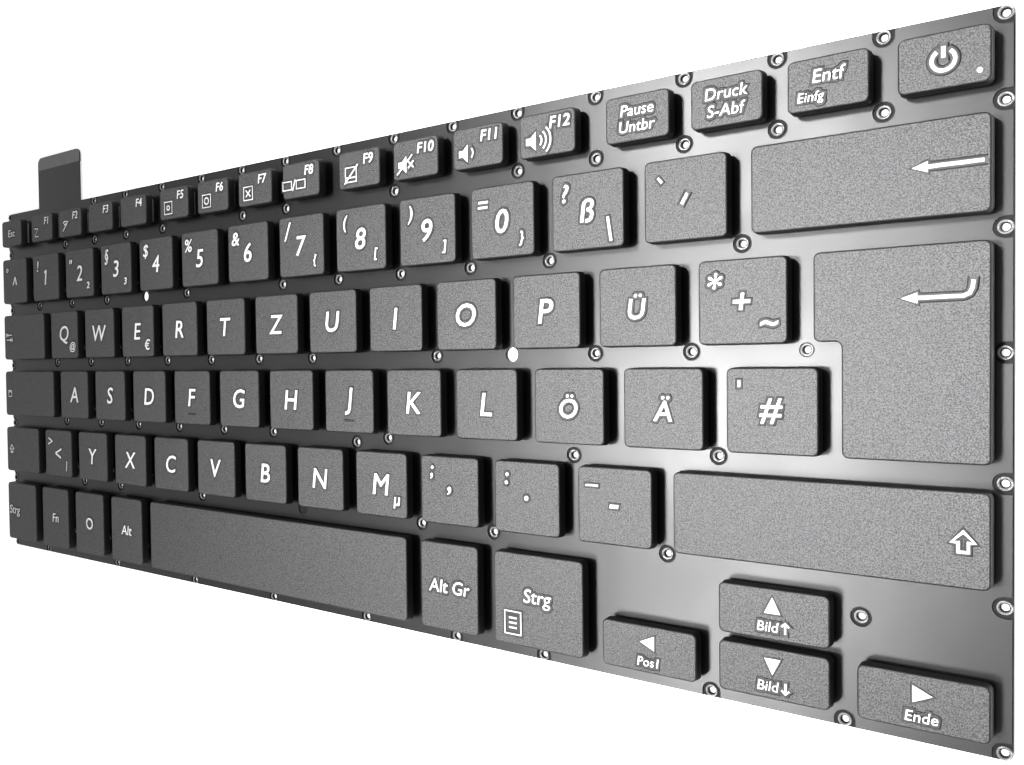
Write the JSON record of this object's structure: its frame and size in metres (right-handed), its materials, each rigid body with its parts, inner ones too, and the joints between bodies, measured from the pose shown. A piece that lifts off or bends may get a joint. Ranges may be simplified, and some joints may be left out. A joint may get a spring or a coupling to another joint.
{
  "type": "laptop replacement keyboard",
  "caption": "Thin laptop keyboard module: island keycaps on scissor links and rubber domes over a switch film, on a stamped metal plate with corner holes and a flat connector tail.",
  "frame": {"origin": "centre of the plate's back face", "axes": "+X along the key rows towards the enter key, +Y from the space bar towards the function row, +Z out of the key tops"},
  "size_m": [0.287, 0.1277, 0.0044],
  "materials": {
    "cap_plastic": "fine grain",
    "film": "satin",
    "stiffener_film": "satin",
    "plate_metal": "painted sheet with bare collars round its holes",
    "dome_rubber": "matte",
    "link_plastic": "satin",
    "spring_wire": "drawn wire"
  },
  "bodies": {
    "module": {"base_plate": "plate_metal", "membrane_sheet": "film", "rubber_domes": "dome_rubber", "scissor_inner_links": "link_plastic", "scissor_outer_links": "link_plastic", "stabiliser_wires": "spring_wire", "tail_stiffener": "stiffener_film", "upper_row_keycaps": "cap_plastic"},
    "key_a": {"key_a": "cap_plastic"},
    "key_a_umlaut": {"key_a_umlaut": "cap_plastic"},
    "key_alt": {"key_alt": "cap_plastic"},
    "key_alt_graph": {"key_alt_graph": "cap_plastic"},
    "key_angle": {"key_angle": "cap_plastic"},
    "key_arrow_down": {"key_arrow_down": "cap_plastic"},
    "key_arrow_left": {"key_arrow_left": "cap_plastic"},
    "key_arrow_right": {"key_arrow_right": "cap_plastic"},
    "key_arrow_up": {"key_arrow_up": "cap_plastic"},
    "key_b": {"key_b": "cap_plastic"},
    "key_c": {"key_c": "cap_plastic"},
    "key_caps": {"key_caps": "cap_plastic"},
    "key_comma": {"key_comma": "cap_plastic"},
    "key_d": {"key_d": "cap_plastic"},
    "key_e": {"key_e": "cap_plastic"},
    "key_enter": {"key_enter": "cap_plastic"},
    "key_f": {"key_f": "cap_plastic"},
    "key_fn": {"key_fn": "cap_plastic"},
    "key_g": {"key_g": "cap_plastic"},
    "key_h": {"key_h": "cap_plastic"},
    "key_hash": {"key_hash": "cap_plastic"},
    "key_hyphen": {"key_hyphen": "cap_plastic"},
    "key_i": {"key_i": "cap_plastic"},
    "key_j": {"key_j": "cap_plastic"},
    "key_k": {"key_k": "cap_plastic"},
    "key_l": {"key_l": "cap_plastic"},
    "key_left_control": {"key_left_control": "cap_plastic"},
    "key_left_shift": {"key_left_shift": "cap_plastic"},
    "key_m": {"key_m": "cap_plastic"},
    "key_n": {"key_n": "cap_plastic"},
    "key_o": {"key_o": "cap_plastic"},
    "key_o_umlaut": {"key_o_umlaut": "cap_plastic"},
    "key_p": {"key_p": "cap_plastic"},
    "key_period": {"key_period": "cap_plastic"},
    "key_plus": {"key_plus": "cap_plastic"},
    "key_q": {"key_q": "cap_plastic"},
    "key_r": {"key_r": "cap_plastic"},
    "key_right_control": {"key_right_control": "cap_plastic"},
    "key_right_shift": {"key_right_shift": "cap_plastic"},
    "key_s": {"key_s": "cap_plastic"},
    "key_space": {"key_space": "cap_plastic"},
    "key_system": {"key_system": "cap_plastic"},
    "key_t": {"key_t": "cap_plastic"},
    "key_tab": {"key_tab": "cap_plastic"},
    "key_u": {"key_u": "cap_plastic"},
    "key_u_umlaut": {"key_u_umlaut": "cap_plastic"},
    "key_v": {"key_v": "cap_plastic"},
    "key_w": {"key_w": "cap_plastic"},
    "key_x": {"key_x": "cap_plastic"},
    "key_y": {"key_y": "cap_plastic"},
    "key_z": {"key_z": "cap_plastic"}
  },
  "joints": [
    {"name": "key_a_press", "type": "slide", "parent": "module", "child": "key_a", "axis": [0, 0, -1], "range_m": [0, 0.0014], "stiffness_N_per_m": 400, "deforming": ["rubber_domes", "scissor_outer_links", "scissor_inner_links", "stabiliser_wires"]},
    {"name": "key_a_umlaut_press", "type": "slide", "parent": "module", "child": "key_a_umlaut", "axis": [0, 0, -1], "range_m": [0, 0.0014], "stiffness_N_per_m": 400, "deforming": ["rubber_domes", "scissor_outer_links", "scissor_inner_links", "stabiliser_wires"]},
    {"name": "key_alt_press", "type": "slide", "parent": "module", "child": "key_alt", "axis": [0, 0, -1], "range_m": [0, 0.0014], "stiffness_N_per_m": 400, "deforming": ["rubber_domes", "scissor_outer_links", "scissor_inner_links", "stabiliser_wires"]},
    {"name": "key_alt_graph_press", "type": "slide", "parent": "module", "child": "key_alt_graph", "axis": [0, 0, -1], "range_m": [0, 0.0014], "stiffness_N_per_m": 400, "deforming": ["rubber_domes", "scissor_outer_links", "scissor_inner_links", "stabiliser_wires"]},
    {"name": "key_angle_press", "type": "slide", "parent": "module", "child": "key_angle", "axis": [0, 0, -1], "range_m": [0, 0.0014], "stiffness_N_per_m": 400, "deforming": ["rubber_domes", "scissor_outer_links", "scissor_inner_links", "stabiliser_wires"]},
    {"name": "key_arrow_down_press", "type": "slide", "parent": "module", "child": "key_arrow_down", "axis": [0, 0, -1], "range_m": [0, 0.0014], "stiffness_N_per_m": 400, "deforming": ["rubber_domes", "scissor_outer_links", "scissor_inner_links", "stabiliser_wires"]},
    {"name": "key_arrow_left_press", "type": "slide", "parent": "module", "child": "key_arrow_left", "axis": [0, 0, -1], "range_m": [0, 0.0014], "stiffness_N_per_m": 400, "deforming": ["rubber_domes", "scissor_outer_links", "scissor_inner_links", "stabiliser_wires"]},
    {"name": "key_arrow_right_press", "type": "slide", "parent": "module", "child": "key_arrow_right", "axis": [0, 0, -1], "range_m": [0, 0.0014], "stiffness_N_per_m": 400, "deforming": ["rubber_domes", "scissor_outer_links", "scissor_inner_links", "stabiliser_wires"]},
    {"name": "key_arrow_up_press", "type": "slide", "parent": "module", "child": "key_arrow_up", "axis": [0, 0, -1], "range_m": [0, 0.0014], "stiffness_N_per_m": 400, "deforming": ["rubber_domes", "scissor_outer_links", "scissor_inner_links", "stabiliser_wires"]},
    {"name": "key_b_press", "type": "slide", "parent": "module", "child": "key_b", "axis": [0, 0, -1], "range_m": [0, 0.0014], "stiffness_N_per_m": 400, "deforming": ["rubber_domes", "scissor_outer_links", "scissor_inner_links", "stabiliser_wires"]},
    {"name": "key_c_press", "type": "slide", "parent": "module", "child": "key_c", "axis": [0, 0, -1], "range_m": [0, 0.0014], "stiffness_N_per_m": 400, "deforming": ["rubber_domes", "scissor_outer_links", "scissor_inner_links", "stabiliser_wires"]},
    {"name": "key_caps_press", "type": "slide", "parent": "module", "child": "key_caps", "axis": [0, 0, -1], "range_m": [0, 0.0014], "stiffness_N_per_m": 400, "deforming": ["rubber_domes", "scissor_outer_links", "scissor_inner_links", "stabiliser_wires"]},
    {"name": "key_comma_press", "type": "slide", "parent": "module", "child": "key_comma", "axis": [0, 0, -1], "range_m": [0, 0.0014], "stiffness_N_per_m": 400, "deforming": ["rubber_domes", "scissor_outer_links", "scissor_inner_links", "stabiliser_wires"]},
    {"name": "key_d_press", "type": "slide", "parent": "module", "child": "key_d", "axis": [0, 0, -1], "range_m": [0, 0.0014], "stiffness_N_per_m": 400, "deforming": ["rubber_domes", "scissor_outer_links", "scissor_inner_links", "stabiliser_wires"]},
    {"name": "key_e_press", "type": "slide", "parent": "module", "child": "key_e", "axis": [0, 0, -1], "range_m": [0, 0.0014], "stiffness_N_per_m": 400, "deforming": ["rubber_domes", "scissor_outer_links", "scissor_inner_links", "stabiliser_wires"]},
    {"name": "key_enter_press", "type": "slide", "parent": "module", "child": "key_enter", "axis": [0, 0, -1], "range_m": [0, 0.0014], "stiffness_N_per_m": 400, "deforming": ["rubber_domes", "scissor_outer_links", "scissor_inner_links", "stabiliser_wires"]},
    {"name": "key_f_press", "type": "slide", "parent": "module", "child": "key_f", "axis": [0, 0, -1], "range_m": [0, 0.0014], "stiffness_N_per_m": 400, "deforming": ["rubber_domes", "scissor_outer_links", "scissor_inner_links", "stabiliser_wires"]},
    {"name": "key_fn_press", "type": "slide", "parent": "module", "child": "key_fn", "axis": [0, 0, -1], "range_m": [0, 0.0014], "stiffness_N_per_m": 400, "deforming": ["rubber_domes", "scissor_outer_links", "scissor_inner_links", "stabiliser_wires"]},
    {"name": "key_g_press", "type": "slide", "parent": "module", "child": "key_g", "axis": [0, 0, -1], "range_m": [0, 0.0014], "stiffness_N_per_m": 400, "deforming": ["rubber_domes", "scissor_outer_links", "scissor_inner_links", "stabiliser_wires"]},
    {"name": "key_h_press", "type": "slide", "parent": "module", "child": "key_h", "axis": [0, 0, -1], "range_m": [0, 0.0014], "stiffness_N_per_m": 400, "deforming": ["rubber_domes", "scissor_outer_links", "scissor_inner_links", "stabiliser_wires"]},
    {"name": "key_hash_press", "type": "slide", "parent": "module", "child": "key_hash", "axis": [0, 0, -1], "range_m": [0, 0.0014], "stiffness_N_per_m": 400, "deforming": ["rubber_domes", "scissor_outer_links", "scissor_inner_links", "stabiliser_wires"]},
    {"name": "key_hyphen_press", "type": "slide", "parent": "module", "child": "key_hyphen", "axis": [0, 0, -1], "range_m": [0, 0.0014], "stiffness_N_per_m": 400, "deforming": ["rubber_domes", "scissor_outer_links", "scissor_inner_links", "stabiliser_wires"]},
    {"name": "key_i_press", "type": "slide", "parent": "module", "child": "key_i", "axis": [0, 0, -1], "range_m": [0, 0.0014], "stiffness_N_per_m": 400, "deforming": ["rubber_domes", "scissor_outer_links", "scissor_inner_links", "stabiliser_wires"]},
    {"name": "key_j_press", "type": "slide", "parent": "module", "child": "key_j", "axis": [0, 0, -1], "range_m": [0, 0.0014], "stiffness_N_per_m": 400, "deforming": ["rubber_domes", "scissor_outer_links", "scissor_inner_links", "stabiliser_wires"]},
    {"name": "key_k_press", "type": "slide", "parent": "module", "child": "key_k", "axis": [0, 0, -1], "range_m": [0, 0.0014], "stiffness_N_per_m": 400, "deforming": ["rubber_domes", "scissor_outer_links", "scissor_inner_links", "stabiliser_wires"]},
    {"name": "key_l_press", "type": "slide", "parent": "module", "child": "key_l", "axis": [0, 0, -1], "range_m": [0, 0.0014], "stiffness_N_per_m": 400, "deforming": ["rubber_domes", "scissor_outer_links", "scissor_inner_links", "stabiliser_wires"]},
    {"name": "key_left_control_press", "type": "slide", "parent": "module", "child": "key_left_control", "axis": [0, 0, -1], "range_m": [0, 0.0014], "stiffness_N_per_m": 400, "deforming": ["rubber_domes", "scissor_outer_links", "scissor_inner_links", "stabiliser_wires"]},
    {"name": "key_left_shift_press", "type": "slide", "parent": "module", "child": "key_left_shift", "axis": [0, 0, -1], "range_m": [0, 0.0014], "stiffness_N_per_m": 400, "deforming": ["rubber_domes", "scissor_outer_links", "scissor_inner_links", "stabiliser_wires"]},
    {"name": "key_m_press", "type": "slide", "parent": "module", "child": "key_m", "axis": [0, 0, -1], "range_m": [0, 0.0014], "stiffness_N_per_m": 400, "deforming": ["rubber_domes", "scissor_outer_links", "scissor_inner_links", "stabiliser_wires"]},
    {"name": "key_n_press", "type": "slide", "parent": "module", "child": "key_n", "axis": [0, 0, -1], "range_m": [0, 0.0014], "stiffness_N_per_m": 400, "deforming": ["rubber_domes", "scissor_outer_links", "scissor_inner_links", "stabiliser_wires"]},
    {"name": "key_o_press", "type": "slide", "parent": "module", "child": "key_o", "axis": [0, 0, -1], "range_m": [0, 0.0014], "stiffness_N_per_m": 400, "deforming": ["rubber_domes", "scissor_outer_links", "scissor_inner_links", "stabiliser_wires"]},
    {"name": "key_o_umlaut_press", "type": "slide", "parent": "module", "child": "key_o_umlaut", "axis": [0, 0, -1], "range_m": [0, 0.0014], "stiffness_N_per_m": 400, "deforming": ["rubber_domes", "scissor_outer_links", "scissor_inner_links", "stabiliser_wires"]},
    {"name": "key_p_press", "type": "slide", "parent": "module", "child": "key_p", "axis": [0, 0, -1], "range_m": [0, 0.0014], "stiffness_N_per_m": 400, "deforming": ["rubber_domes", "scissor_outer_links", "scissor_inner_links", "stabiliser_wires"]},
    {"name": "key_period_press", "type": "slide", "parent": "module", "child": "key_period", "axis": [0, 0, -1], "range_m": [0, 0.0014], "stiffness_N_per_m": 400, "deforming": ["rubber_domes", "scissor_outer_links", "scissor_inner_links", "stabiliser_wires"]},
    {"name": "key_plus_press", "type": "slide", "parent": "module", "child": "key_plus", "axis": [0, 0, -1], "range_m": [0, 0.0014], "stiffness_N_per_m": 400, "deforming": ["rubber_domes", "scissor_outer_links", "scissor_inner_links", "stabiliser_wires"]},
    {"name": "key_q_press", "type": "slide", "parent": "module", "child": "key_q", "axis": [0, 0, -1], "range_m": [0, 0.0014], "stiffness_N_per_m": 400, "deforming": ["rubber_domes", "scissor_outer_links", "scissor_inner_links", "stabiliser_wires"]},
    {"name": "key_r_press", "type": "slide", "parent": "module", "child": "key_r", "axis": [0, 0, -1], "range_m": [0, 0.0014], "stiffness_N_per_m": 400, "deforming": ["rubber_domes", "scissor_outer_links", "scissor_inner_links", "stabiliser_wires"]},
    {"name": "key_right_control_press", "type": "slide", "parent": "module", "child": "key_right_control", "axis": [0, 0, -1], "range_m": [0, 0.0014], "stiffness_N_per_m": 400, "deforming": ["rubber_domes", "scissor_outer_links", "scissor_inner_links", "stabiliser_wires"]},
    {"name": "key_right_shift_press", "type": "slide", "parent": "module", "child": "key_right_shift", "axis": [0, 0, -1], "range_m": [0, 0.0014], "stiffness_N_per_m": 400, "deforming": ["rubber_domes", "scissor_outer_links", "scissor_inner_links", "stabiliser_wires"]},
    {"name": "key_s_press", "type": "slide", "parent": "module", "child": "key_s", "axis": [0, 0, -1], "range_m": [0, 0.0014], "stiffness_N_per_m": 400, "deforming": ["rubber_domes", "scissor_outer_links", "scissor_inner_links", "stabiliser_wires"]},
    {"name": "key_space_press", "type": "slide", "parent": "module", "child": "key_space", "axis": [0, 0, -1], "range_m": [0, 0.0014], "stiffness_N_per_m": 400, "deforming": ["rubber_domes", "scissor_outer_links", "scissor_inner_links", "stabiliser_wires"]},
    {"name": "key_system_press", "type": "slide", "parent": "module", "child": "key_system", "axis": [0, 0, -1], "range_m": [0, 0.0014], "stiffness_N_per_m": 400, "deforming": ["rubber_domes", "scissor_outer_links", "scissor_inner_links", "stabiliser_wires"]},
    {"name": "key_t_press", "type": "slide", "parent": "module", "child": "key_t", "axis": [0, 0, -1], "range_m": [0, 0.0014], "stiffness_N_per_m": 400, "deforming": ["rubber_domes", "scissor_outer_links", "scissor_inner_links", "stabiliser_wires"]},
    {"name": "key_tab_press", "type": "slide", "parent": "module", "child": "key_tab", "axis": [0, 0, -1], "range_m": [0, 0.0014], "stiffness_N_per_m": 400, "deforming": ["rubber_domes", "scissor_outer_links", "scissor_inner_links", "stabiliser_wires"]},
    {"name": "key_u_press", "type": "slide", "parent": "module", "child": "key_u", "axis": [0, 0, -1], "range_m": [0, 0.0014], "stiffness_N_per_m": 400, "deforming": ["rubber_domes", "scissor_outer_links", "scissor_inner_links", "stabiliser_wires"]},
    {"name": "key_u_umlaut_press", "type": "slide", "parent": "module", "child": "key_u_umlaut", "axis": [0, 0, -1], "range_m": [0, 0.0014], "stiffness_N_per_m": 400, "deforming": ["rubber_domes", "scissor_outer_links", "scissor_inner_links", "stabiliser_wires"]},
    {"name": "key_v_press", "type": "slide", "parent": "module", "child": "key_v", "axis": [0, 0, -1], "range_m": [0, 0.0014], "stiffness_N_per_m": 400, "deforming": ["rubber_domes", "scissor_outer_links", "scissor_inner_links", "stabiliser_wires"]},
    {"name": "key_w_press", "type": "slide", "parent": "module", "child": "key_w", "axis": [0, 0, -1], "range_m": [0, 0.0014], "stiffness_N_per_m": 400, "deforming": ["rubber_domes", "scissor_outer_links", "scissor_inner_links", "stabiliser_wires"]},
    {"name": "key_x_press", "type": "slide", "parent": "module", "child": "key_x", "axis": [0, 0, -1], "range_m": [0, 0.0014], "stiffness_N_per_m": 400, "deforming": ["rubber_domes", "scissor_outer_links", "scissor_inner_links", "stabiliser_wires"]},
    {"name": "key_y_press", "type": "slide", "parent": "module", "child": "key_y", "axis": [0, 0, -1], "range_m": [0, 0.0014], "stiffness_N_per_m": 400, "deforming": ["rubber_domes", "scissor_outer_links", "scissor_inner_links", "stabiliser_wires"]},
    {"name": "key_z_press", "type": "slide", "parent": "module", "child": "key_z", "axis": [0, 0, -1], "range_m": [0, 0.0014], "stiffness_N_per_m": 400, "deforming": ["rubber_domes", "scissor_outer_links", "scissor_inner_links", "stabiliser_wires"]}
  ]
}
